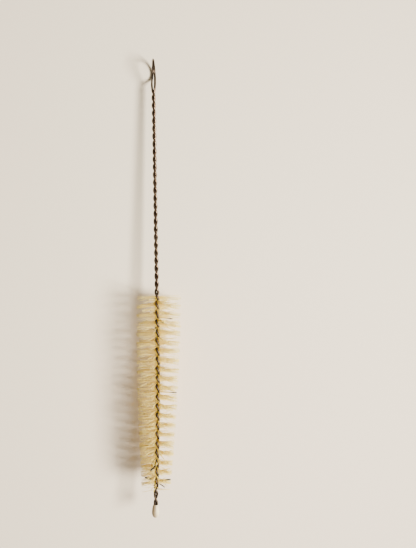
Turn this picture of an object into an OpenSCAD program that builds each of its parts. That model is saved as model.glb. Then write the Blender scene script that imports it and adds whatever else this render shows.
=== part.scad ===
// Bottle brush of twisted wire, lying on a level surface with its hanging loop on edge.
// Sizes in millimetres and degrees. +Y runs from the tip to the loop, +Z is up, the surface is z = 0.

/* [Wire] */
// Diameter of the drawn steel wire
wire_d = 1.25; // [1:0.05:1.6]
// Clearance between the two legs where they are twisted against each other
leg_clearance = 0.02; // [0.01:0.01:0.1]
// Turns of left-hand twist in the bare handle
handle_turns = 13.25; // [11:0.25:15]
// Turns of left-hand twist through the bristles
brush_turns = 10.5; // [8:0.5:12]
// Turns of left-hand twist from the last bristle to the cut ends
tail_turns = 1.25; // [1:0.25:1.5]

/* [Loop] */
// Inside diameter of the hanging loop
loop_inside_d = 11; // [9:0.2:16]
// Bend radius where the legs leave the twist for the loop
neck_bend_r = 30; // [10:1:40]
// How far each side of the loop stands off the other at the neck
neck_splay = 0.7; // [0:0.1:1.5]
// Lean of the loop out of the upright
loop_lean = 4; // [0:1:12]

/* [Lengths] */
// Bare twisted handle, from the neck of the loop to the first bristle
handle_length = 118.4; // [90:0.2:150]
// Stretch of wire that carries bristles
brush_length = 108.6; // [80:0.2:140]
// Bare wire between the last bristle and the tip
tail_length = 8; // [5:0.2:12]

/* [Bristles] */
// Brush diameter at the handle end
brush_d = 25.5; // [23:0.5:32]
// Brush diameter at the tip end
brush_tip_d = 16; // [12:0.5:22]
// Shape of the taper, 1 is a straight cone and more keeps the brush full for longer
taper_power = 1.9; // [1:0.1:3]
// How far the outline stands to one side of the wire at the handle end
trim_shift = 1.3; // [0:0.1:2]
// Diameter of one bristle
bristle_d = 0.25; // [0.2:0.01:0.35]
// Clearance between neighbours along the wire
bristle_spacing = 0.03; // [0.02:0.005:0.1]
// Clearance between a bristle and each leg that grips it
bristle_clearance = 0.01; // [0.01:0.01:0.05]
// Most that a bristle leans along the wire, as far as its neighbours leave room
bristle_lean = 2.5; // [0:0.25:4]
// Most that a bristle falls short of the outline, as a share of its reach
bristle_short = 0.05; // [0:0.01:0.15]
// How deep the bristles are pressed flat where the brush rests
flat_depth = 0.9; // [0.2:0.1:1.2]

/* [Tip] */
// Length of the white tip
tip_length = 7.2; // [6:0.1:10]
// Widest diameter of the tip
tip_d = 4.1; // [3.9:0.1:6]
// Height of the widest place above the end
tip_belly = 3.1; // [2.6:0.1:4]
// Radius of the round end
tip_end_r = 1.6; // [1.2:0.1:1.7]
// Wall of the tip at its mouth
tip_lip = 0.15; // [0.1:0.05:0.4]
// Length of wire inside the tip
tip_grip = 4; // [3:0.1:4.5]
// Clearance between the wire and the tip
tip_clearance = 0.02; // [0.01:0.01:0.1]

/* [Bend] */
// Slant of the handle across the surface
handle_slant = 1.14; // [0:0.02:2]
// Bend of the head back from the line of the handle
head_bend = 2.6; // [0.5:0.1:6]
// Where the bend begins, from the neck of the loop
bend_start = 120; // [100:1:160]

/* [Hidden] */
$fn = 48;
SIDES = 8;
STEPS = 10;
RING_STEPS = 28;
BEND_STEPS = 4;
SEED = 27;

// Stations along the wire's axis, from the neck of the loop towards the tip
brush_start = handle_length;
brush_end = brush_start + brush_length;
tip_start = brush_end + tail_length;
cut_end = tip_start + tip_grip;
axis_end = tip_start + tip_length;

wire_r = wire_d / 2;
// A leg runs straight from one station to the next, so it is set out by what the chords cut off
chord = cos(180 / STEPS);
leg_out = (wire_d + leg_clearance) / 2 / chord;
leg_out_brush = (wire_d + bristle_d + 2 * bristle_clearance) / 2 / chord;
leg_ramp = 4;

function ramp(x) = let (c = min(1, max(0, x))) c * c * (3 - 2 * c);
function leg_offset(s) = leg_out + (leg_out_brush - leg_out)
    * ramp((s - brush_start) / leg_ramp + 1) * ramp((brush_end - s) / leg_ramp + 1);
function twist(s) = s <= brush_start ? 360 * handle_turns * s / handle_length
    : s <= brush_end ? 360 * (handle_turns + brush_turns * (s - brush_start) / brush_length)
    : 360 * (handle_turns + brush_turns + tail_turns * (s - brush_end) / (cut_end - brush_end));
// Angle of the first leg about the axis, from +X towards +Z
function leg_angle(s) = -loop_lean - twist(s);

// The axis seen from above: a straight handle, then an even bend to the end of the tip
bend_r = (axis_end - bend_start) / (head_bend * PI / 180);
function heading(s) = handle_slant - max(0, s - bend_start) / bend_r * 180 / PI;
function axis_flat(s) = let (h = heading(s), b = min(s, bend_start))
    [b * sin(handle_slant) + bend_r * (cos(h) - cos(handle_slant)),
     -b * cos(handle_slant) + bend_r * (sin(h) - sin(handle_slant)), 0];
function side_of(s) = [cos(heading(s)), sin(heading(s)), 0];
function along(s) = [sin(heading(s)), -cos(heading(s)), 0];
function around(s, a) = cos(a) * side_of(s) + [0, 0, sin(a)];

// The outline was trimmed round a straight line, and the wire has bowed away from it since
trim_from = axis_flat(brush_start) + [trim_shift, 0, 0];
trim_to = axis_flat(brush_end);
function trim_offset(s) = let (p = axis_flat(s), f = (p[1] - trim_from[1]) / (trim_to[1] - trim_from[1]))
    trim_from[0] + (trim_to[0] - trim_from[0]) * f - p[0];
function trim_r(s) = let (f = (s - brush_start) / brush_length)
    (brush_d - (brush_d - brush_tip_d) * pow(max(0, f), taper_power)) / 2;
// How far the outline is from the wire in one direction
function reach(s, a) = let (d = trim_offset(s)) d * cos(a) + sqrt(pow(trim_r(s), 2) - pow(d * sin(a), 2));

// The loop in its own plane: an open ring, with a reverse bend at each side of the neck
ring_r = loop_inside_d / 2 + wire_r;
neck_lead = atan(leg_out * 2 * PI * handle_turns / handle_length);
ring_up = sqrt(pow(ring_r + neck_bend_r, 2) - pow(neck_bend_r * cos(neck_lead), 2))
    - neck_bend_r * sin(neck_lead);
ring_open = asin(neck_bend_r * cos(neck_lead) / (ring_r + neck_bend_r));
neck_sweep = 90 - ring_open - neck_lead;
function neck_point(a) = neck_bend_r
    * [cos(neck_lead) - cos(neck_lead + a), sin(neck_lead + a) - sin(neck_lead)];
// Share of the loop's length that one reverse bend takes
neck_share = neck_bend_r * neck_sweep / (2 * neck_bend_r * neck_sweep + ring_r * (360 - 2 * ring_open));
// Points of the loop, each with its share of the way round
loop_flat = concat(
    [for (i = [1 : BEND_STEPS - 1])
        concat(neck_point(neck_sweep * i / BEND_STEPS), neck_share * i / BEND_STEPS)],
    [for (i = [0 : RING_STEPS]) let (g = ring_open + (360 - 2 * ring_open) * i / RING_STEPS)
        [ring_r * sin(g), ring_up - ring_r * cos(g), neck_share + (1 - 2 * neck_share) * i / RING_STEPS]],
    [for (i = [BEND_STEPS - 1 : -1 : 1]) let (p = neck_point(neck_sweep * i / BEND_STEPS))
        [-p[0], p[1], 1 - neck_share * i / BEND_STEPS]]);
loop_out = around(0, -loop_lean);
loop_wide = around(0, 90 - loop_lean);
// The two sides of the loop pass each other at the neck, stand off a little and meet at the crown
function side_offset(f) = leg_out * cos(180 * f) + neck_splay * sin(360 * f) * pow(cos(180 * f), 2);
loop_path = [for (p = loop_flat) p[0] * loop_wide - p[1] * along(0) + side_offset(p[2]) * loop_out];

// Rest: the loop stands on its rim and the wide end of the brush on its pressed bristles
loop_low = wire_r - min([for (p = loop_path) p[2]]);
rest_tilt = asin((brush_d / 2 - flat_depth - loop_low) / (brush_start + ring_up));
neck_up = loop_low + ring_up * sin(rest_tilt);
trim_stations = [for (i = [0 : 20]) brush_start + brush_length * i / 20];
x_mid = (min([for (s = trim_stations) axis_flat(s)[0] + trim_offset(s) - trim_r(s)])
    + max([for (s = trim_stations) axis_flat(s)[0] + trim_offset(s) + trim_r(s)])) / 2;
y_top = ring_up + ring_r + wire_r;
y_end = axis_flat(axis_end)[1];
shift = [-x_mid, -(y_top + y_end) / 2 * cos(rest_tilt), neck_up];

module laid_down() translate(shift) rotate([-rest_tilt, 0, 0]) children();
// Height above the surface of a point given along the untilted axis, and the rise of a direction
function height(p) = neck_up - p[1] * sin(rest_tilt) + p[2] * cos(rest_tilt);
function rise(d) = d[2] * cos(rest_tilt) - d[1] * sin(rest_tilt);

// Path of the whole wire from one cut end, up its leg, round the loop and down to the other cut end
handle_steps = ceil(handle_turns * STEPS);
brush_steps = ceil(brush_turns * STEPS);
tail_steps = ceil(tail_turns * STEPS);
stations = concat([for (i = [0 : handle_steps - 1]) brush_start * i / handle_steps],
    [for (i = [0 : brush_steps - 1]) brush_start + brush_length * i / brush_steps],
    [for (i = [0 : tail_steps]) brush_end + (cut_end - brush_end) * i / tail_steps]);
last = len(stations) - 1;
function leg_point(s, side) = axis_flat(s) + side * leg_offset(s) * around(s, leg_angle(s));
wire_path = concat([for (i = [last : -1 : 0]) leg_point(stations[i], 1)], loop_path,
    [for (i = [0 : last]) leg_point(stations[i], -1)]);
wire_side = concat([for (i = [last : -1 : 0]) around(stations[i], leg_angle(stations[i]))],
    [for (p = loop_path) loop_out],
    [for (i = [0 : last]) around(stations[i], leg_angle(stations[i]))]);

function unit(v) = v / norm(v);
// Rings of points square to a path, joined by triangles and closed at both ends
module swept(path, side, r) {
    n = len(path);
    points = [for (i = [0 : n - 1])
        let (t = unit(path[min(n - 1, i + 1)] - path[max(0, i - 1)]),
             u = unit(side[i] - (side[i] * t) * t), v = cross(t, u))
        for (k = [0 : SIDES - 1]) path[i] + r * (cos(360 * k / SIDES) * u + sin(360 * k / SIDES) * v)];
    faces = concat([[for (k = [0 : SIDES - 1]) k]],
        [for (i = [0 : n - 2]) for (k = [0 : SIDES - 1])
            let (a = i * SIDES + k, b = i * SIDES + (k + 1) % SIDES)
                each [[a, a + SIDES, b], [b, a + SIDES, b + SIDES]]],
        [[for (k = [SIDES - 1 : -1 : 0]) (n - 1) * SIDES + k]]);
    polyhedron(points, faces);
}

module rod(from, dir, length, d) translate(from)
    rotate([0, acos(dir[2]), atan2(dir[1], dir[0])]) cylinder(d = d, h = length);

// One wire folded in half: the fold is the hanging loop, the legs are twisted to the tip
module twisted_wire() color([0.36, 0.27, 0.2]) laid_down() swept(wire_path, wire_side, wire_r);

// Bristles laid between the legs, each through the axis and out at both sides, turning with the twist
bristle_pitch = bristle_d + bristle_spacing;
bristle_count = floor((brush_length - bristle_d) / bristle_pitch);
// A bristle that points down stops at the surface
function reach_above(p, d, r) = let (w = rise(d)) w > -0.2 ? r
    : min(r, (height(p) - bristle_d / 2 * sqrt(1 - w * w)) / -w);
// Neighbours that lean towards each other must pass without touching
bristle_turn = 2 * PI * brush_turns * bristle_pitch / brush_length;
lean_room = atan(bristle_turn * sqrt(pow(bristle_pitch / bristle_d, 2) - 1)) / 2;
lean_most = min(bristle_lean, 0.95 * lean_room);
leans = rands(-lean_most, lean_most, 2000, SEED);
shorts = rands(1 - bristle_short, 1, 4000, SEED + 1);

module bristles() color([0.88, 0.8, 0.62]) laid_down() for (i = [0 : bristle_count - 1]) {
    s = brush_start + bristle_d / 2 + i * bristle_pitch;
    a = leg_angle(s) + 90;
    d = cos(leans[i]) * around(s, a) + sin(leans[i]) * along(s);
    one = reach_above(axis_flat(s), d, reach(s, a) * shorts[2 * i]);
    two = reach_above(axis_flat(s), -d, reach(s, a + 180) * shorts[2 * i + 1]);
    rod(axis_flat(s) - two * d, d, one + two, bristle_d);
}

// White drop over the cut ends: a round end, a belly and a flank that narrows to a thin mouth
mouth_r = leg_out + wire_r + tip_clearance;
// The legs slant where they are cut, so one edge of each cut end reaches further in
end_reach = wire_r * sin(atan(leg_out * 2 * PI * tail_turns / (cut_end - brush_end)));
tip_r = tip_d / 2;
mouth_out = mouth_r + tip_lip;
// Arcs below and above the widest place, the lower one running into the round end
belly_low = (pow(tip_r, 2) + pow(tip_belly - tip_end_r, 2) - pow(tip_end_r, 2)) / (2 * (tip_r - tip_end_r));
belly_high = (pow(tip_length - tip_belly, 2) + pow(tip_r - mouth_out, 2)) / (2 * (tip_r - mouth_out));
// Direction in which the round end and the lower arc touch
end_turn = atan2(tip_belly - tip_end_r, belly_low - tip_r);
function arc(middle, r, from, to, n) = [for (i = [0 : n - 1]) let (a = from + (to - from) * i / n)
    middle + r * [cos(a), sin(a)]];
tip_outline = concat(arc([0, tip_end_r], tip_end_r, -90, -end_turn, 8),
    arc([tip_r - belly_low, tip_belly], belly_low, -end_turn, 0, 4),
    arc([tip_r - belly_high, tip_belly], belly_high, 0, asin((tip_length - tip_belly) / belly_high), 6),
    [[mouth_out, tip_length], [0, tip_length]]);
module tip() color([0.93, 0.92, 0.88]) laid_down() translate(axis_flat(axis_end))
    rotate([-90, 0, heading(axis_end)]) rotate_extrude() difference() {
        polygon(tip_outline);
        translate([-1, tip_length - tip_grip - end_reach - tip_clearance]) square([mouth_r + 1, tip_length]);
    }

twisted_wire();
bristles();
tip();
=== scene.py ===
"""Looks of the bottle brush: a smooth twisted wire, loose natural bristles and a white dipped tip.

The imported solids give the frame. Every visible piece here stands for one of their nodes.
"""

import logging
import math
from dataclasses import dataclass
from enum import Enum
from typing import Dict, List, Mapping, Optional, Sequence, Tuple

import bpy
import numpy as np
from mathutils import Matrix


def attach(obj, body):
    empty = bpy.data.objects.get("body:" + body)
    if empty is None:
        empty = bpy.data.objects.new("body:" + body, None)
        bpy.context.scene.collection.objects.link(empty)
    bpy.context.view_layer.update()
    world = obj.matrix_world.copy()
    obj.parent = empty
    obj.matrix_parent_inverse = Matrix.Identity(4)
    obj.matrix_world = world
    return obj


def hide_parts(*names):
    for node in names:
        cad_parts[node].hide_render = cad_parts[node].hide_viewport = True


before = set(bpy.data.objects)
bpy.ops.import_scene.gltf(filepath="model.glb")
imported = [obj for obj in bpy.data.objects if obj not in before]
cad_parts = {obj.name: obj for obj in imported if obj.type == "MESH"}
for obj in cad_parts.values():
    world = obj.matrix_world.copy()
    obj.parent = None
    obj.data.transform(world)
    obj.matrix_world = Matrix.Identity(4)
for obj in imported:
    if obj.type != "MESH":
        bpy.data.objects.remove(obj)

LOG = logging.getLogger("bottle_brush")
MM = 0.001
SMOOTH_BELOW = math.radians(50)

Pair = Tuple[float, float]
Point = Tuple[float, float, float]
Colour = Tuple[float, float, float]


def unit(v: np.ndarray) -> np.ndarray:
    """Scales vectors, held in the last axis, to length 1."""
    return v / np.linalg.norm(v, axis=-1, keepdims=True)


def eased(x: np.ndarray) -> np.ndarray:
    """Gives 0 up to 0, 1 from 1 on and a smooth rise between."""
    x = np.clip(x, 0, 1)
    return x * x * (3 - 2 * x)


@dataclass(frozen=True)
class Layout:
    """Sizes of the brush in millimetres and degrees, and the line of its axis.

    Stations run along the axis from the neck of the loop (0) to the end of the tip. Steps and
    probes say how many points stand for a stretch. The tip's pole, where the arc of its end
    starts, is in radians.
    """

    wire_d: float = 1.25
    handle_length: float = 118.4
    brush_length: float = 108.6
    tail_length: float = 8.0
    handle_turns: float = 13.25
    brush_turns: float = 10.5
    tail_turns: float = 1.25
    loop_inside_d: float = 11.0
    neck_bend_r: float = 30.0
    neck_splay: float = 0.7
    neck_steps: int = 12
    loop_lean: float = 4.0
    loop_probe: int = 60
    leg_out: float = 0.645
    leg_out_brush: float = 0.78
    leg_ramp: float = 4.0
    brush_d: float = 25.5
    brush_tip_d: float = 16.0
    taper_power: float = 1.9
    trim_shift: float = 1.3
    trim_probe: int = 21
    flat_depth: float = 0.9
    tip_length: float = 7.2
    tip_d: float = 4.1
    tip_belly: float = 3.1
    tip_end_r: float = 1.6
    tip_pole: float = -1.45
    tip_mouth_d: float = 2.7
    tip_grip: float = 4.0
    cap_steps: int = 9
    lower_steps: int = 7
    upper_steps: int = 9
    handle_slant: float = 1.14
    head_bend: float = 2.6
    bend_start: float = 120.0

    @property
    def brush_start(self) -> float:
        """Station of the first bristle."""
        return self.handle_length

    @property
    def brush_end(self) -> float:
        """Station of the last bristle."""
        return self.brush_start + self.brush_length

    @property
    def tip_start(self) -> float:
        """Station of the tip's mouth."""
        return self.brush_end + self.tail_length

    @property
    def cut_end(self) -> float:
        """Station of the wire's cut ends, inside the tip."""
        return self.tip_start + self.tip_grip

    @property
    def axis_end(self) -> float:
        """Station of the end of the tip."""
        return self.tip_start + self.tip_length

    @property
    def turns(self) -> float:
        """Turns of the twist from the neck to the cut ends."""
        return self.handle_turns + self.brush_turns + self.tail_turns

    @property
    def bend_r(self) -> float:
        """Radius of the head's slow bend."""
        return (self.axis_end - self.bend_start) / math.radians(self.head_bend)

    @property
    def ring_r(self) -> float:
        """Radius of the loop's centre line."""
        return (self.loop_inside_d + self.wire_d) / 2

    @property
    def neck_lead(self) -> float:
        """Angle of the twisted legs to the axis at the neck, in radians."""
        return math.atan(self.leg_out * 2 * math.pi * self.handle_turns / self.handle_length)

    @property
    def ring_up(self) -> float:
        """Distance from the neck to the middle of the loop."""
        r, b, lead = self.ring_r, self.neck_bend_r, self.neck_lead
        return math.sqrt((r + b) ** 2 - (b * math.cos(lead)) ** 2) - b * math.sin(lead)

    def twist(self, s: np.ndarray) -> np.ndarray:
        """Gives the twist of the legs in radians, counted from the neck.

        Args:
            s: Stations.

        Returns:
            The twist at each station.
        """
        stations = [0, self.brush_start, self.brush_end, self.cut_end]
        turns = np.cumsum([0, self.handle_turns, self.brush_turns, self.tail_turns])
        return 2 * math.pi * np.interp(s, stations, turns)

    def leg_angle(self, s: np.ndarray) -> np.ndarray:
        """Gives the first leg's angle about the axis in radians, from +X towards +Z."""
        return -math.radians(self.loop_lean) - self.twist(s)

    def leg_offset(self, s: np.ndarray) -> np.ndarray:
        """Gives how far each leg lies from the axis, wider where bristles are gripped.

        Args:
            s: Stations.

        Returns:
            Offsets in millimetres.
        """
        into = eased((s - self.brush_start) / self.leg_ramp + 1)
        out = eased((self.brush_end - s) / self.leg_ramp + 1)
        return self.leg_out + (self.leg_out_brush - self.leg_out) * into * out

    def heading(self, s: np.ndarray) -> np.ndarray:
        """Gives the axis's direction seen from above in radians, from -Y towards +X."""
        bent = np.maximum(0, s - self.bend_start) / self.bend_r
        return math.radians(self.handle_slant) - bent

    def axis(self, s: np.ndarray) -> np.ndarray:
        """Gives points of the axis before the brush is laid down.

        Args:
            s: Stations.

        Returns:
            Points, one row each.
        """
        slant, h = math.radians(self.handle_slant), self.heading(s)
        straight = np.minimum(s, self.bend_start)
        x = straight * math.sin(slant) + self.bend_r * (np.cos(h) - math.cos(slant))
        y = -straight * math.cos(slant) + self.bend_r * (np.sin(h) - math.sin(slant))
        return np.stack([x, y, np.zeros_like(x)], axis=-1)

    def along(self, s: np.ndarray) -> np.ndarray:
        """Gives unit vectors along the axis towards the tip."""
        h = self.heading(s)
        return np.stack([np.sin(h), -np.cos(h), np.zeros_like(h)], axis=-1)

    def around(self, s: np.ndarray, angle: np.ndarray) -> np.ndarray:
        """Gives directions square to the axis.

        Args:
            s: Stations.
            angle: Angles about the axis in radians, from +X towards +Z.

        Returns:
            Unit vectors, one row each.
        """
        h, level = self.heading(s), np.cos(angle)
        return np.stack([level * np.cos(h), level * np.sin(h), np.sin(angle)], axis=-1)

    def trim_r(self, s: np.ndarray) -> np.ndarray:
        """Gives the radius of the trimmed outline."""
        f = np.clip((s - self.brush_start) / self.brush_length, 0, 1)
        return (self.brush_d - (self.brush_d - self.brush_tip_d) * f**self.taper_power) / 2

    def trim_offset(self, s: np.ndarray) -> np.ndarray:
        """Gives how far the middle of the outline, trimmed straight, lies from the bowed wire.

        Args:
            s: Stations.

        Returns:
            Offsets of the outline from the wire, towards +X.
        """
        first, last = self.axis(np.array([self.brush_start, self.brush_end]))
        p = self.axis(s)
        share = (p[..., 1] - first[1]) / (last[1] - first[1])
        return (first[0] + self.trim_shift) * (1 - share) + last[0] * share - p[..., 0]

    def reach(self, s: np.ndarray, angle: np.ndarray) -> np.ndarray:
        """Gives how far the outline is from the wire, at angles about the axis from +X to +Z."""
        d = self.trim_offset(s)
        return d * np.cos(angle) + np.sqrt(self.trim_r(s) ** 2 - (d * np.sin(angle)) ** 2)

    def loop(self, steps: int) -> np.ndarray:
        """Gives the loop from the neck's right side over the crown to its left side.

        Args:
            steps: Points round the ring.

        Returns:
            The points.
        """
        zero, lead, r, b = np.zeros(1), self.neck_lead, self.ring_r, self.neck_bend_r
        opening = math.asin(b * math.cos(lead) / (r + b))
        sweep = math.pi / 2 - opening - lead
        a = np.linspace(0, sweep, self.neck_steps + 2)[1:-1]
        bend = [math.cos(lead) - np.cos(lead + a), np.sin(lead + a) - math.sin(lead)]
        side = b * np.stack(bend, axis=-1)
        g = np.linspace(opening, 2 * math.pi - opening, steps)
        ring = np.stack([r * np.sin(g), self.ring_up - r * np.cos(g)], axis=-1)
        flat = np.concatenate([side, ring, side[::-1] * [-1, 1]])
        total = 2 * b * sweep + 2 * r * (math.pi - opening)
        way = np.concatenate([b * a, b * sweep + r * (g - opening), total - b * a[::-1]]) / total
        lean = -math.radians(self.loop_lean)
        out = self.around(zero, zero + lean)[0]
        wide = self.around(zero, zero + lean + math.pi / 2)[0]
        stand_off = self.leg_out * np.cos(math.pi * way)
        stand_off += self.neck_splay * np.sin(2 * math.pi * way) * np.cos(math.pi * way) ** 2
        return flat[:, :1] * wide - flat[:, 1:] * self.along(zero) + stand_off[:, None] * out

    def tip_outline(self) -> List[Pair]:
        """Gives the tip's side from its end to its mouth, as three arcs.

        Returns:
            Pairs of height above the end and radius.
        """
        r, belly, end = self.tip_d / 2, self.tip_belly, self.tip_end_r
        up, mouth = self.tip_length - belly, self.tip_mouth_d / 2
        low = (r**2 + (belly - end) ** 2 - end**2) / (2 * (r - end))
        high = (up**2 + (r - mouth) ** 2) / (2 * (r - mouth))
        meet, top = math.atan2(belly - end, low - r), math.asin(up / high)
        arcs = (
            (end, 0.0, end, np.linspace(self.tip_pole, -meet, self.cap_steps)),
            (belly, r - low, low, np.linspace(-meet, 0, self.lower_steps)[1:]),
            (belly, r - high, high, np.linspace(0, top, self.upper_steps)[1:]),
        )
        return [
            (height + arc_r * math.sin(a), middle + arc_r * math.cos(a))
            for height, middle, arc_r, angles in arcs
            for a in angles
        ]

    def laid_down(self, points: np.ndarray) -> np.ndarray:
        """Moves points from the brush's own axes to where the brush lies.

        Args:
            points: Points in millimetres, along the untilted axis.

        Returns:
            Points in metres on the surface.
        """
        low = self.wire_d / 2 - self.loop(self.loop_probe)[:, 2].min()
        sine = (self.brush_d / 2 - self.flat_depth - low) / (self.brush_start + self.ring_up)
        cosine = math.sqrt(1 - sine * sine)
        top = self.ring_up + self.ring_r + self.wire_d / 2
        end = self.axis(np.array([self.axis_end]))[0, 1]
        s = np.linspace(self.brush_start, self.brush_end, self.trim_probe)
        middle, r = self.axis(s)[:, 0] + self.trim_offset(s), self.trim_r(s)
        x_mid = ((middle - r).min() + (middle + r).max()) / 2
        x, y, z = points[..., 0], points[..., 1], points[..., 2]
        return MM * np.stack(
            [
                x - x_mid,
                y * cosine + z * sine - (top + end) / 2 * cosine,
                z * cosine - y * sine + low + self.ring_up * sine,
            ],
            axis=-1,
        )


class Value:
    """One shader output, with arithmetic that adds the matching node."""

    def __init__(self, graph: "Graph", socket: bpy.types.NodeSocket) -> None:
        """Keeps the output and the node tree that it is in."""
        self.graph = graph
        self.socket = socket

    def __add__(self, other: object) -> "Value":
        """Adds."""
        return self.graph.maths("ADD", self, other)

    def __radd__(self, other: object) -> "Value":
        """Adds to a number."""
        return self.graph.maths("ADD", other, self)

    def __sub__(self, other: object) -> "Value":
        """Subtracts."""
        return self.graph.maths("SUBTRACT", self, other)

    def __rsub__(self, other: object) -> "Value":
        """Subtracts from a number."""
        return self.graph.maths("SUBTRACT", other, self)

    def __mul__(self, other: object) -> "Value":
        """Multiplies."""
        return self.graph.maths("MULTIPLY", self, other)

    def __rmul__(self, other: object) -> "Value":
        """Multiplies a number."""
        return self.graph.maths("MULTIPLY", other, self)

    def band(self, low: float, high: float) -> "Value":
        """Gives 0 below low, 1 above high and a smooth rise between.

        Args:
            low: Start of the rise.
            high: End of the rise.

        Returns:
            The banded value.
        """
        made = self.graph.add(
            "ShaderNodeMapRange",
            {"interpolation_type": "SMOOTHSTEP"},
            {"Value": self, "From Min": low, "From Max": high},
        )
        return Value(self.graph, made.outputs["Result"])


class Graph:
    """The node tree of one material."""

    def __init__(self, name: str) -> None:
        """Starts an empty material with an output.

        Args:
            name: The material's name.
        """
        self.material = bpy.data.materials.new(name)
        self.material.use_nodes = True
        self.tree = self.material.node_tree
        self.tree.nodes.clear()
        self.out = self.add("ShaderNodeOutputMaterial")

    def add(
        self,
        kind: str,
        settings: Optional[Mapping[str, object]] = None,
        sockets: Optional[Mapping[object, object]] = None,
    ) -> bpy.types.Node:
        """Adds a node.

        Args:
            kind: The node's type name.
            settings: Properties, which are set first.
            sockets: What feeds each input, by name or place: a Value, a number or a colour.

        Returns:
            The node.
        """
        made = self.tree.nodes.new(kind)
        for key, value in (settings or {}).items():
            setattr(made, key, value)
        for key, value in (sockets or {}).items():
            if isinstance(value, Value):
                self.tree.links.new(value.socket, made.inputs[key])
            elif isinstance(value, tuple):
                made.inputs[key].default_value = (*value, 1.0)
            else:
                made.inputs[key].default_value = value
        return made

    def maths(self, operation: str, one: object, two: object) -> Value:
        """Joins two values or numbers by a Math operation."""
        made = self.add("ShaderNodeMath", {"operation": operation}, {0: one, 1: two})
        return Value(self, made.outputs[0])

    def attribute(self, name: str) -> Value:
        """Reads a number stored on the mesh."""
        made = self.add("ShaderNodeAttribute", {"attribute_name": name})
        return Value(self, made.outputs["Fac"])

    def noise(self, cells: float, octaves: float) -> Value:
        """Reads a noise in object coordinates.

        Args:
            cells: Noise cells per metre.
            octaves: How much fine detail it has.

        Returns:
            The noise, near 0.5 in the mean.
        """
        place = Value(self, self.add("ShaderNodeTexCoord").outputs["Object"])
        sockets = {"Vector": place, "Scale": cells, "Detail": octaves}
        return Value(self, self.add("ShaderNodeTexNoise", {}, sockets).outputs["Fac"])

    def mix(self, share: object, one: object, two: object) -> Value:
        """Mixes two colours: a share of 0 gives the first, 1 the second."""
        made = self.add("ShaderNodeMix", {"data_type": "RGBA"}, {0: share, 6: one, 7: two})
        return Value(self, made.outputs[2])

    def bump(self, height: Value, depth: float) -> Value:
        """Turns a height into a normal, with the depth in metres."""
        made = self.add("ShaderNodeBump", {}, {"Distance": depth, "Height": height})
        return Value(self, made.outputs[0])

    def surface(self, sockets: Mapping[object, object]) -> Value:
        """Adds the main surface, with what feeds each of its inputs."""
        return Value(self, self.add("ShaderNodeBsdfPrincipled", {}, sockets).outputs[0])

    def finish(self, shader: Value) -> bpy.types.Material:
        """Makes a shader the material's output."""
        self.tree.links.new(shader.socket, self.out.inputs["Surface"])
        return self.material


@dataclass(frozen=True)
class Finish:
    """How a piece looks. A noise is given by its cells per metre and its octaves."""

    def material(self) -> bpy.types.Material:
        """Builds the material."""
        raise NotImplementedError


@dataclass(frozen=True)
class WireFinish(Finish):
    """Old drawn steel, brown, rubbed in patches, blacker in the head, with painted shade below and
    in grooves.
    """

    film: Colour = (0.1, 0.064, 0.043)
    # Dark colour of the painted shade below and in the grooves, also used for the darker loop and
    # head.
    groove: Colour = (0.02, 0.013, 0.01)
    rubbed: Colour = (0.148, 0.102, 0.067)
    patch_noise: Pair = (140, 3)
    grain_noise: Pair = (2600, 2)
    grain_depth: float = 0.00001
    rubbed_band: Pair = (0.4, 0.65)
    # Band of the painted shade on faces turned to the other leg.
    groove_shade_band: Pair = (0.45, 0.9)
    # Band and raggedness of the painted shade on the underside and on flanks turned from the lit
    # side.
    shaded_flank_band: Pair = (-0.75, -0.45)
    shaded_flank_ragged: float = 0.1
    head_share: float = 0.65
    rough: float = 0.2
    rough_patches: float = 0.06
    rough_head: float = 0.2
    metal: float = 0.85

    def material(self) -> bpy.types.Material:
        """Builds the material.

        Returns:
            The wire's material.
        """
        g = Graph("wire_old_steel")
        groove, up, dull = g.attribute("groove"), g.attribute("up"), g.attribute("dull")
        patches, grain = g.noise(*self.patch_noise), g.noise(*self.grain_noise)
        # Painted shade: faces turned from the lit side, the underside among them, go to the dark
        # colour.
        under = (self.shaded_flank_ragged * patches - up).band(*self.shaded_flank_band)
        shade = g.mix(patches.band(*self.rubbed_band), self.film, self.rubbed)
        # Painted shade where the legs face each other; the loop takes about two thirds of the dark
        # colour throughout.
        shade = g.mix(groove.band(*self.groove_shade_band), shade, self.groove)
        shade = g.mix(under, shade, self.groove)
        shade = g.mix(self.head_share * dull, shade, self.groove)
        sockets = {
            "Base Color": shade,
            "Roughness": self.rough + self.rough_patches * patches + self.rough_head * dull,
            "Metallic": self.metal,
            "Normal": g.bump(grain, self.grain_depth),
        }
        return g.finish(g.surface(sockets))


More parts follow.
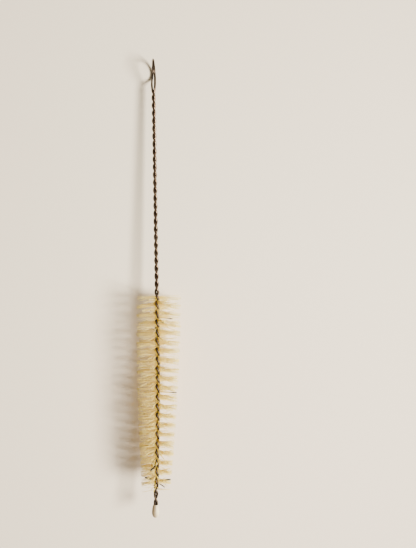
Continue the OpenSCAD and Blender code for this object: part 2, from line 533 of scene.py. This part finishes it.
@dataclass(frozen=True)
class BristleFinish(Finish):
    """Natural bristle: golden at the wire, pale towards the ends, each a little different."""

    root: Colour = (0.76, 0.57, 0.06)
    middle: Colour = (0.98, 0.85, 0.38)
    end: Colour = (0.99, 0.92, 0.56)
    dark: Colour = (0.02, 0.014, 0.012)
    through: Colour = (0.99, 0.89, 0.48)
    streak_noise: Pair = (900, 2)
    root_band: Pair = (0.02, 0.4)
    end_band: Pair = (0.5, 1.5)
    end_tint: float = 0.6
    golden_band: Pair = (0.5, 1.0)
    golden_share: float = 0.12
    golden_streak: float = 0.4
    rough: float = 0.4
    rough_tint: float = 0.2
    through_share: float = 0.72

    def material(self) -> bpy.types.Material:
        """Builds the material.

        Returns:
            The bristles' material.
        """
        g = Graph("bristle_natural")
        out, tint, dark = g.attribute("out"), g.attribute("tint"), g.attribute("dark")
        golden = self.golden_share + self.golden_streak * g.noise(*self.streak_noise)
        shade = g.mix(out.band(*self.root_band), self.root, self.middle)
        shade = g.mix((out + self.end_tint * tint).band(*self.end_band), shade, self.end)
        shade = g.mix((1 - tint).band(*self.golden_band) * golden, shade, self.root)
        shade = g.mix(dark, shade, self.dark)
        rough = self.rough + self.rough_tint * tint
        face = g.surface({"Base Color": shade, "Roughness": rough})
        glow = g.add("ShaderNodeBsdfTranslucent", {}, {"Color": self.through})
        sockets = {0: self.through_share * (1 - dark), 1: face, 2: Value(g, glow.outputs[0])}
        return g.finish(Value(g, g.add("ShaderNodeMixShader", {}, sockets).outputs[0]))


@dataclass(frozen=True)
class TipFinish(Finish):
    """White dipped plastic, slightly yellowed, with painted shade down its left side and darker at
    its mouth.
    """

    white: Colour = (0.76, 0.67, 0.46)
    aged: Colour = (0.66, 0.55, 0.35)
    # Dark colour for the painted shade down the left side and for the darker mouth.
    shade_and_mouth_dark: Colour = (0.29, 0.215, 0.135)
    cloud_noise: Pair = (330, 4)
    fine_noise: Pair = (1500, 3)
    fine_depth: float = 0.00006
    aged_band: Pair = (0.4, 0.75)
    aged_share: float = 0.6
    # Band and raggedness of the painted shade down the left side.
    shaded_side_band: Pair = (-0.9, 0.3)
    shaded_side_ragged: float = 0.4
    mouth_band: Pair = (1.0, 1.4)
    mouth_ragged: float = 0.3
    rough: float = 0.32
    rough_cloud: float = 0.25

    def material(self) -> bpy.types.Material:
        """Builds the material.

        Returns:
            The tip's material.
        """
        g = Graph("tip_white")
        cloud, fine = g.noise(*self.cloud_noise), g.noise(*self.fine_noise)
        # Painted shade down the left side, away from the window lamp.
        left = (self.shaded_side_ragged * cloud - g.attribute("side")).band(*self.shaded_side_band)
        # Darker near the mouth.
        mouth = (self.mouth_ragged * cloud + g.attribute("up")).band(*self.mouth_band)
        shade = g.mix(cloud.band(*self.aged_band) * self.aged_share, self.white, self.aged)
        shade = g.mix(left, shade, self.shade_and_mouth_dark)
        shade = g.mix(mouth, shade, self.shade_and_mouth_dark)
        sockets = {
            "Base Color": shade,
            "Roughness": self.rough + self.rough_cloud * cloud,
            "Normal": g.bump(fine, self.fine_depth),
        }
        return g.finish(g.surface(sockets))


@dataclass(frozen=True)
class FloorFinish(Finish):
    """The pale warm surface under the brush."""

    one: Colour = (0.77, 0.675, 0.58)
    two: Colour = (0.78, 0.662, 0.572)
    cloud_noise: Pair = (4, 1)
    cloud_band: Pair = (0.3, 0.7)
    rough: float = 0.85

    def material(self) -> bpy.types.Material:
        """Builds the material.

        Returns:
            The floor's material.
        """
        g = Graph("floor_pale")
        cloud = g.noise(*self.cloud_noise).band(*self.cloud_band)
        shade = g.mix(cloud, self.one, self.two)
        return g.finish(g.surface({"Base Color": shade, "Roughness": self.rough}))


class Node(Enum):
    """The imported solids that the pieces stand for."""

    WIRE = "twisted_wire"
    BRISTLES = "bristles"
    TIP = "tip"


def only(obj: bpy.types.Object) -> None:
    """Makes one object the selected and active one.

    Args:
        obj: The object.
    """
    bpy.ops.object.select_all(action="DESELECT")
    obj.select_set(True)
    bpy.context.view_layer.objects.active = obj


def points_of(mesh: bpy.types.Mesh) -> np.ndarray:
    """Reads a mesh's points.

    Args:
        mesh: The mesh.

    Returns:
        The points, one row each.
    """
    co = np.empty(len(mesh.vertices) * 3)
    mesh.vertices.foreach_get("co", co)
    return co.reshape(-1, 3)


def number(mesh: bpy.types.Mesh, name: str, values: np.ndarray) -> None:
    """Stores a number on each vertex, under the attribute's name."""
    made = mesh.attributes.new(name, "FLOAT", "POINT")
    made.data.foreach_set("value", values.astype(np.float32).ravel())


@dataclass
class Piece:
    """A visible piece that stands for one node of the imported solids."""

    layout: Layout
    node: Node
    slot: str
    finish: Finish

    def shape(self) -> bpy.types.Object:
        """Models the piece."""
        raise NotImplementedError

    def build(self) -> bpy.types.Object:
        """Models, finishes and joins the piece to the frame.

        Returns:
            The finished object.
        """
        obj = self.shape()
        obj.data.materials.clear()
        obj.data.materials.append(self.finish.material())
        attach(obj, "root")
        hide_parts(self.node.value)
        mesh = obj.data
        LOG.info("%s: %d vertices, %d faces", obj.name, len(mesh.vertices), len(mesh.polygons))
        return obj


@dataclass
class Wire(Piece):
    """One wire folded in half: its fold is the loop, its legs are twisted to the tip.

    The radius drawn is the legs' distance from the axis times the closing value, so that the legs
    touch and no light falls through.
    """

    node: Node = Node.WIRE
    slot: str = "wire"
    finish: Finish = WireFinish()
    closing: float = 1.005
    turn_steps: int = 24
    loop_steps: int = 72
    section_steps: int = 4
    twist_probe: int = 4000
    # Fixed groove value for the loop, which darkens the whole loop about two thirds of the way to
    # the dark colour.
    loop_groove: float = 0.72
    # Faces turned from this side get painted shade in the wire's material.
    lit_side: Point = (-0.2, 0.0, 0.98)

    @property
    def thick_r(self) -> float:
        """Radius drawn."""
        return self.closing * self.layout.leg_out

    def path(self) -> Tuple[np.ndarray, np.ndarray, np.ndarray]:
        """Follows the whole wire from one cut end to the other.

        Returns:
            Points in millimetres, the direction away from the other leg, and how dull each is.
        """
        w = self.layout
        probe = np.linspace(0, w.cut_end, self.twist_probe)
        turned = np.linspace(0, 2 * math.pi * w.turns, int(w.turns * self.turn_steps))
        s = np.interp(turned, w.twist(probe), probe)
        away = w.around(s, w.leg_angle(s))
        offset = w.leg_offset(s)[:, None] * away
        loop = w.loop(self.loop_steps)
        path = np.concatenate([(w.axis(s) + offset)[::-1], loop, w.axis(s) - offset])
        away = np.concatenate([away[::-1], np.zeros_like(loop), -away])
        dull = np.clip((s - w.brush_start) / w.leg_ramp + 1, 0, 1)
        return path, away, np.concatenate([dull[::-1], np.zeros(len(loop)), dull])

    def shape(self) -> bpy.types.Object:
        """Sweeps a round section along the wire's path.

        Returns:
            The wire.
        """
        path, away, dull = self.path()
        points = self.layout.laid_down(path)
        bpy.ops.object.select_all(action="DESELECT")
        bpy.ops.curve.primitive_nurbs_path_add()
        obj = bpy.context.view_layer.objects.active
        obj.name = obj.data.name = "folded_wire"
        bpy.ops.object.mode_set(mode="EDIT")
        bpy.ops.curve.select_all(action="SELECT")
        bpy.ops.curve.spline_type_set(type="POLY")
        bpy.ops.object.mode_set(mode="OBJECT")
        spline = obj.data.splines[0]
        spline.points.add(len(points) - len(spline.points))
        spline.points.foreach_set("co", np.c_[points, np.ones(len(points))].ravel())
        obj.data.bevel_depth = self.thick_r * MM
        obj.data.bevel_resolution = self.section_steps
        obj.data.use_fill_caps = True
        only(obj)
        bpy.ops.object.convert(target="MESH")
        obj = bpy.context.view_layer.objects.active
        bpy.ops.object.shade_smooth_by_angle(angle=SMOOTH_BELOW)
        self.mark(obj.data, points, away, dull)
        return obj

    def mark(
        self, mesh: bpy.types.Mesh, points: np.ndarray, away: np.ndarray, dull: np.ndarray
    ) -> None:
        """Stores on each vertex how far it faces the other leg and the lit side, which set where
        shade is painted, and how dull it is.

        The mesh holds the caps first and then one ring for each point of the path.

        Args:
            mesh: The wire's mesh.
            points: The path in metres.
            away: Directions away from the other leg, before the brush is laid down, 0 in the loop.
            dull: 1 from the first bristle to the tip, 0 in the handle.
        """
        co = points_of(mesh)
        sides = len(co) // len(points)
        caps = len(co) - sides * len(points)
        ring = np.maximum(np.arange(len(co)) - caps, 0) // sides
        facing = (co - points[ring]) / (self.thick_r * MM)
        loop = ~away[ring].any(axis=1)
        inwards = -(facing * away[ring]).sum(axis=1)
        # How far each vertex faces the other leg, for the painted shade there; the loop's fixed
        # value darkens all of it.
        number(mesh, "groove", np.where(loop, self.loop_groove, inwards))
        number(mesh, "dull", dull[ring])
        # How far each vertex faces the lit side; the material paints shade where this is low.
        number(mesh, "up", facing @ unit(np.array(self.lit_side)))


@dataclass(frozen=True)
class Odd:
    """A bristle that stands out: where it leaves the wire, where it points and where it is dark.

    Station and reach are in millimetres, angle and lean in degrees. Thick is a multiple of the
    usual thickness, and the rest are shares of the bristle's length.
    """

    station: float
    angle: float
    reach: float
    dark_from: float
    thick: float
    lean: float = 0.0
    bow: float = 0.0
    turn: float = 0.0


@dataclass(frozen=True)
class Chance:
    """How far bristles differ, by clump and singly, with a few that stray.

    They lean and swing more towards the tip, and more of them stray near the handle. Angles are in
    degrees, lengths and bows in shares of the reach, the fade in millimetres.
    """

    place: Pair = (0.1, 0.9)
    stray_share: float = 0.04
    stray_more: float = 0.14
    stray_fade: float = 14.0
    lean_clump: float = 1.0
    lean: float = 3.8
    lean_more: float = 1.7
    lean_stray: float = 9.0
    swing_clump: float = 2.5
    swing: float = 7.5
    swing_more: float = 1.5
    longest: float = 1.01
    length: float = 0.02
    short_share: float = 0.07
    short: Pair = (0.72, 0.97)
    tint_first: float = 0.74
    tint_fall: float = 0.62
    tint_clump: float = 0.08
    tint: float = 0.2
    bow_along: float = 0.02
    bow_stray: float = 0.12
    bow_round: float = 0.03
    thick_log: Pair = (-0.05, 0.4)
    thick_limits: Pair = (0.55, 2.1)


@dataclass
class Bristles(Piece):
    """Bristles gripped between the legs, each running through the axis and out at both sides.

    The worn share says how many are left, by millimetres from the last bristle.
    """

    node: Node = Node.BRISTLES
    slot: str = "bristle"
    finish: Finish = BristleFinish()
    chance: Chance = Chance()
    count: int = 1480
    clump: int = 3
    first_density: float = 0.6
    root_r: float = 0.125
    end_r: float = 0.11
    taper_power: float = 1.4
    sides: int = 3
    cuts: Sequence[float] = (-0.78, -0.54, -0.3, -0.08, 0.08, 0.3, 0.54, 0.78)
    parting_at: float = 85.0
    parting: float = 11.0
    droop: float = 4.0
    seed: int = 27
    never_dark: float = 2.0
    odd_stub: float = 0.08
    odd_tint: float = 0.2
    worn: Sequence[Pair] = ((0, 0.12), (2.5, 0.12), (3.5, 0.3), (5.5, 0.6), (7, 0.95), (9, 1))
    odd: Sequence[Odd] = (
        Odd(station=211.8, angle=80, reach=9.0, dark_from=0.45, thick=4.5, bow=0.18, turn=0.45),
        Odd(station=221.8, angle=128, reach=9.6, dark_from=0.45, thick=4.8, lean=-24),
        Odd(station=221.5, angle=20, reach=8.8, dark_from=0.6, thick=4.2, lean=-10),
        Odd(station=222.9, angle=30, reach=5.8, dark_from=0.5, thick=3.2, bow=0.25),
        Odd(station=172.4, angle=15, reach=11.4, dark_from=0.7, thick=3.2),
        Odd(station=130.6, angle=30, reach=10.6, dark_from=0.6, thick=2.6, lean=4),
        Odd(station=133.4, angle=60, reach=9.0, dark_from=0.7, thick=2.2),
    )

    def pattern(self) -> Tuple[np.ndarray, np.ndarray, List[List[int]]]:
        """Models one straight bristle that all the others are bent copies of.

        Returns:
            Place of each vertex along it from -1 to 1, its direction across it, and the faces.
        """
        bpy.ops.object.select_all(action="DESELECT")
        bpy.ops.mesh.primitive_cylinder_add(
            vertices=self.sides, radius=1, depth=2, end_fill_type="NGON"
        )
        obj = bpy.context.view_layer.objects.active
        bpy.ops.object.mode_set(mode="EDIT")
        for cut in self.cuts:
            bpy.ops.mesh.select_all(action="SELECT")
            bpy.ops.mesh.bisect(plane_co=(0, 0, cut), plane_no=(0, 0, 1))
        bpy.ops.object.mode_set(mode="OBJECT")
        co = points_of(obj.data)
        faces = [list(p.vertices) for p in obj.data.polygons]
        bpy.data.objects.remove(obj, do_unlink=True)
        return co[:, 2], co[:, :2], faces

    def stations(self, rng: np.random.Generator) -> np.ndarray:
        """Spreads the bristles along the wire: closer towards the tip, fewer at the worn end.

        Args:
            rng: The source of chance.

        Returns:
            A station for each bristle.
        """
        w, first = self.layout, self.first_density
        more = 2 * (1 - first)
        u = (np.arange(self.count) + rng.uniform(*self.chance.place, self.count)) / self.count
        s = w.brush_start + w.brush_length * (np.sqrt(first**2 + 2 * more * u) - first) / more
        share = np.interp(w.brush_end - s, *zip(*self.worn))
        return s[rng.uniform(0, 1, self.count) < share]

    def sown(self) -> Dict[str, np.ndarray]:
        """Draws the lot of every bristle: two rows for its ends, one for the whole of it.

        Returns:
            Arrays by name.
        """
        w, c, rng = self.layout, self.chance, np.random.default_rng(self.seed)
        s = self.stations(rng)
        n, k = len(s), len(s) // self.clump + 1
        of = np.arange(n) // self.clump
        f = (s - w.brush_start) / w.brush_length
        loose = c.stray_share + c.stray_more * np.exp(-(s - w.brush_start) / c.stray_fade)
        stray = rng.uniform(0, 1, (2, n)) < loose
        lean = self.droop + rng.normal(0, c.lean_clump, (2, k))[:, of]
        lean = lean + rng.normal(0, c.lean + c.lean_more * f, (2, n))
        lean = lean + stray * rng.normal(0, c.lean_stray, (2, n))
        swing = rng.normal(0, c.swing_clump, (2, k))[:, of]
        swing = swing + rng.normal(0, c.swing + c.swing_more * f, (2, n))
        length = c.longest - np.abs(rng.normal(0, c.length, (2, n)))
        short = rng.uniform(0, 1, (2, n)) < c.short_share
        length = np.where(short, length * rng.uniform(*c.short, (2, n)), length)
        tint = c.tint_first - c.tint_fall * f
        tint = tint + rng.normal(0, c.tint_clump, k)[of] + rng.normal(0, c.tint, n)
        bow_along = rng.normal(0, c.bow_along, (2, n))
        bow_along = bow_along + stray * rng.normal(0, c.bow_stray, (2, n))
        return {
            "s": s,
            "angle": self.parted(w.leg_angle(s) + math.pi / 2 + np.radians(swing)),
            "lean": np.radians(lean),
            "bow_along": bow_along,
            "bow_round": rng.normal(0, c.bow_round, (2, n)),
            "length": length,
            "dark_from": np.full((2, n), self.never_dark),
            "thick": np.clip(rng.lognormal(*c.thick_log, n), *c.thick_limits),
            "tint": np.clip(tint, 0, 1),
        }

    def parted(self, angle: np.ndarray) -> np.ndarray:
        """Turns the bristles at the top aside, so that they leave the wire in sight.

        Args:
            angle: Angles about the axis in radians, of the first ends and of the second ends.

        Returns:
            The angles, with none close to the top.
        """
        top = np.array([[self.parting_at - 180], [self.parting_at]])
        off = (np.degrees(angle) - top + 180) % 360 - 180
        wide = np.copysign(np.sqrt(off**2 + self.parting**2), off)
        return np.radians(top + np.where(np.abs(off) < 90, wide, off))

    def with_odd(self, lot: Dict[str, np.ndarray]) -> Dict[str, np.ndarray]:
        """Adds the bristles that stand out, each with one long end.

        Args:
            lot: Arrays by name.

        Returns:
            The arrays with the odd bristles at their ends.
        """
        s = np.array([o.station for o in self.odd])
        angle = np.radians([o.angle for o in self.odd])
        lean = np.radians([o.lean for o in self.odd])
        none = np.zeros(len(s))
        reach = np.array([o.reach for o in self.odd]) / self.layout.reach(s, angle)
        extra = {
            "s": s,
            "angle": np.stack([angle, angle]),
            "lean": np.stack([-lean, lean]),
            "bow_along": np.stack([none, [o.bow for o in self.odd]]),
            "bow_round": np.stack([none, [o.turn for o in self.odd]]),
            "length": np.stack([none + self.odd_stub, reach]),
            "dark_from": np.stack([none + self.never_dark, [o.dark_from for o in self.odd]]),
            "thick": np.array([o.thick for o in self.odd]),
            "tint": none + self.odd_tint,
        }
        return {key: np.concatenate([lot[key], extra[key]], axis=-1) for key in lot}

    def lines(self, lot: Dict[str, np.ndarray], order: np.ndarray) -> np.ndarray:
        """Runs a line through each bristle.

        Args:
            lot: Arrays by name.
            order: Places along a bristle, from -1 to 1.

        Returns:
            Points in metres, by bristle and place.
        """
        w, s = self.layout, lot["s"]
        side = (order > 0).astype(int)
        sign = np.where(order > 0, 1.0, -1.0)
        u = np.abs(order)[None, :]
        angle, lean, length = (lot[key][side].T for key in ("angle", "lean", "length"))
        bow_along, bow_round = (lot[key][side].T for key in ("bow_along", "bow_round"))
        station = np.broadcast_to(s[:, None], angle.shape)
        out = w.around(station, angle) * sign[None, :, None]
        turning = w.around(station, angle + math.pi / 2) * sign[None, :, None]
        tangent = w.along(s)[:, None, :]
        points_to = angle + np.where(sign > 0, 0, math.pi)[None, :]
        far = w.reach(station, points_to) * length * u
        straight = np.cos(lean)[..., None] * out + np.sin(lean)[..., None] * tangent
        bowed = bow_along[..., None] * tangent + bow_round[..., None] * turning
        line = w.axis(s)[:, None, :] + far[..., None] * straight + (far * u)[..., None] * bowed
        return w.laid_down(line)

    def bent(
        self, lot: Dict[str, np.ndarray], place: np.ndarray, section: np.ndarray
    ) -> np.ndarray:
        """Bends, tapers and places a copy of the pattern for each bristle.

        Args:
            lot: Arrays by name.
            place: Place of each vertex of the pattern along it, from -1 to 1.
            section: Direction of each vertex across the pattern.

        Returns:
            Points in metres, by bristle and vertex.
        """
        order, ring = np.unique(np.round(place, 5), return_inverse=True)
        line = self.lines(lot, order)
        taper = self.root_r + (self.end_r - self.root_r) * np.abs(order) ** self.taper_power
        radius = lot["thick"][:, None] * taper[None, :] * MM
        line[..., 2] = np.maximum(line[..., 2], radius)
        along = unit(np.gradient(line, axis=1))
        ref = np.broadcast_to(self.layout.along(lot["s"])[:, None, :], along.shape)
        one = unit(ref - (ref * along).sum(-1, keepdims=True) * along)
        two = np.cross(along, one)
        across = section[None, :, :1] * one[:, ring, :] + section[None, :, 1:] * two[:, ring, :]
        return line[:, ring, :] + radius[:, ring, None] * across

    def shape(self) -> bpy.types.Object:
        """Copies the pattern for every bristle.

        Returns:
            All the bristles as one object.
        """
        place, section, faces = self.pattern()
        lot = self.with_odd(self.sown())
        co = self.bent(lot, place, section)
        n, size = co.shape[:2]
        mesh = bpy.data.meshes.new("loose_bristles")
        polys = [[v + k * size for v in f] for k in range(n) for f in faces]
        mesh.from_pydata(co.reshape(-1, 3).tolist(), [], polys)
        mesh.update()
        out = np.broadcast_to(np.abs(place)[None, :], (n, size))
        number(mesh, "out", out)
        number(mesh, "tint", np.broadcast_to(lot["tint"][:, None], (n, size)))
        number(mesh, "dark", out > lot["dark_from"][(place > 0).astype(int)].T)
        obj = bpy.data.objects.new("loose_bristles", mesh)
        bpy.context.scene.collection.objects.link(obj)
        only(obj)
        bpy.ops.object.shade_smooth()
        return obj


@dataclass
class Tip(Piece):
    """White drop dipped over the wire's cut ends, with a shallow mouth round the wire."""

    node: Node = Node.TIP
    slot: str = "tip"
    finish: Finish = TipFinish()
    mouth_r: float = 1.3
    mouth_lip: float = 0.05
    mouth_depth: float = 0.6
    sides: int = 40

    def turned(self) -> bpy.types.Object:
        """Pulls rings out of a circle into a drop that stands on its end.

        Returns:
            The drop.
        """
        length = self.layout.tip_length
        rings = self.layout.tip_outline()
        rings.append((length, self.mouth_r + self.mouth_lip))
        rings.append((length - self.mouth_depth, self.mouth_r))
        height, r = rings[0]
        bpy.ops.object.select_all(action="DESELECT")
        bpy.ops.mesh.primitive_circle_add(
            vertices=self.sides, radius=r * MM, fill_type="TRIFAN", location=(0, 0, height * MM)
        )
        obj = bpy.context.view_layer.objects.active
        obj.name = obj.data.name = "dipped_tip"
        bpy.ops.object.mode_set(mode="EDIT")
        bpy.ops.mesh.select_all(action="DESELECT")
        bpy.ops.mesh.select_mode(type="EDGE")
        bpy.ops.mesh.select_non_manifold()
        for (low, was), (high, now) in zip(rings, rings[1:]):
            move = (0, 0, (high - low) * MM)
            bpy.ops.mesh.extrude_region_move(TRANSFORM_OT_translate={"value": move})
            middle = (0, 0, high * MM)
            bpy.ops.transform.resize(value=(now / was, now / was, 1), center_override=middle)
        bpy.ops.mesh.edge_face_add()
        bpy.ops.mesh.select_all(action="SELECT")
        bpy.ops.mesh.normals_make_consistent(inside=False)
        bpy.ops.object.mode_set(mode="OBJECT")
        return obj

    def shape(self) -> bpy.types.Object:
        """Lays the turned drop at the end of the axis.

        Returns:
            The tip.
        """
        w, obj = self.layout, self.turned()
        co = (points_of(obj.data) + np.array(obj.location)) / MM
        obj.location = (0, 0, 0)
        s = np.array([w.axis_end])
        up, a = -w.along(s)[0], w.around(s, np.zeros(1))[0]
        b = np.cross(up, a)
        placed = w.axis(s)[0] + co[:, :1] * a + co[:, 1:2] * b + co[:, 2:] * up
        obj.data.vertices.foreach_set("co", w.laid_down(placed).ravel())
        obj.data.update()
        # side: -1 at the left, where the material paints shade.
        number(obj.data, "side", co[:, 0] / (w.tip_d / 2))
        number(obj.data, "up", co[:, 2] / w.tip_length)
        bpy.ops.object.shade_smooth_by_angle(angle=SMOOTH_BELOW)
        return obj


@dataclass(frozen=True)
class Lamp:
    """A flat lamp: its place, where it faces, its width and height, its power and its colour."""

    name: str
    at: Point
    aim: Point
    size: Pair
    power: float
    colour: Colour

    def hang(self) -> bpy.types.Object:
        """Adds the lamp to the scene.

        Returns:
            The lamp.
        """
        data = bpy.data.lights.new(self.name, "AREA")
        data.shape = "RECTANGLE"
        data.size, data.size_y = self.size
        data.energy = self.power
        data.color = self.colour
        obj = bpy.data.objects.new(self.name, data)
        back = -unit(np.array(self.aim))
        side = unit(np.cross((0, 0, 1.0), back))
        up = np.cross(back, side)
        rows = [[side[i], up[i], back[i], self.at[i]] for i in range(3)]
        obj.matrix_world = Matrix(rows + [[0, 0, 0, 1]])
        bpy.context.scene.collection.objects.link(obj)
        return obj


@dataclass(frozen=True)
class Studio:
    """Camera straight above, pale floor, tall window and bright wall at the right, dim room.

    The camera's scale is in millimetres per pixel, its distance and centre in millimetres, and
    the lamps and the floor are in metres.
    """

    scale: float = 0.5675
    picture_height: int = 548
    sensor: float = 36.0
    distance: float = 300.0
    centre: Pair = (27.8, 6.05)
    object_height: float = 12.0
    floor_side: float = 6.0
    floor_drop: float = 0.00005
    floor_finish: FloorFinish = FloorFinish()
    lamps: Sequence[Lamp] = (
        Lamp(
            name="window",
            at=(0.6, -0.148, 0.59),
            aim=(-0.912, 0.25, 0.26),
            size=(0.27, 0.44),
            power=55.5,
            colour=(1.0, 0.97, 0.83),
        ),
        Lamp(
            name="wall",
            at=(0.9, 0.0, 1.1),
            aim=(-0.63, 0.0, -0.77),
            size=(1.2, 1.2),
            power=7.5,
            colour=(1.0, 0.93, 0.75),
        ),
    )
    room: float = 0.32
    room_colour: Colour = (1.0, 0.88, 0.6)

    def camera(self) -> bpy.types.Object:
        """Places the camera.

        Returns:
            The camera.
        """
        data = bpy.data.cameras.new("camera")
        data.sensor_width = self.sensor
        data.lens = self.sensor * self.distance / (self.picture_height * self.scale)
        obj = bpy.data.objects.new("camera", data)
        x, y = self.centre
        obj.location = (x * MM, y * MM, (self.distance + self.object_height) * MM)
        bpy.context.scene.collection.objects.link(obj)
        bpy.context.scene.camera = obj
        return obj

    def floor(self) -> bpy.types.Object:
        """Lays the floor.

        Returns:
            The floor.
        """
        bpy.ops.object.select_all(action="DESELECT")
        bpy.ops.mesh.primitive_plane_add(size=self.floor_side, location=(0, 0, -self.floor_drop))
        obj = bpy.context.view_layer.objects.active
        obj.name = "floor"
        obj.data.materials.append(self.floor_finish.material())
        return obj

    def lights(self) -> None:
        """Hangs the lamps and sets the room's light."""
        for lamp in self.lamps:
            lamp.hang()
        world = bpy.data.worlds.new("room")
        bpy.context.scene.world = world
        world.use_nodes = True
        sky = world.node_tree.nodes["Background"]
        sky.inputs["Color"].default_value = (*self.room_colour, 1)
        sky.inputs["Strength"].default_value = self.room


def main() -> None:
    """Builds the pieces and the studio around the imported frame."""
    logging.basicConfig(level=logging.INFO, format="%(name)s: %(message)s")
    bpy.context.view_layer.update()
    layout = Layout()
    for piece in (Wire(layout), Bristles(layout), Tip(layout)):
        piece.build()
    studio = Studio()
    studio.camera()
    studio.floor()
    studio.lights()
    bpy.context.view_layer.update()


if __name__ == "__main__":
    main()
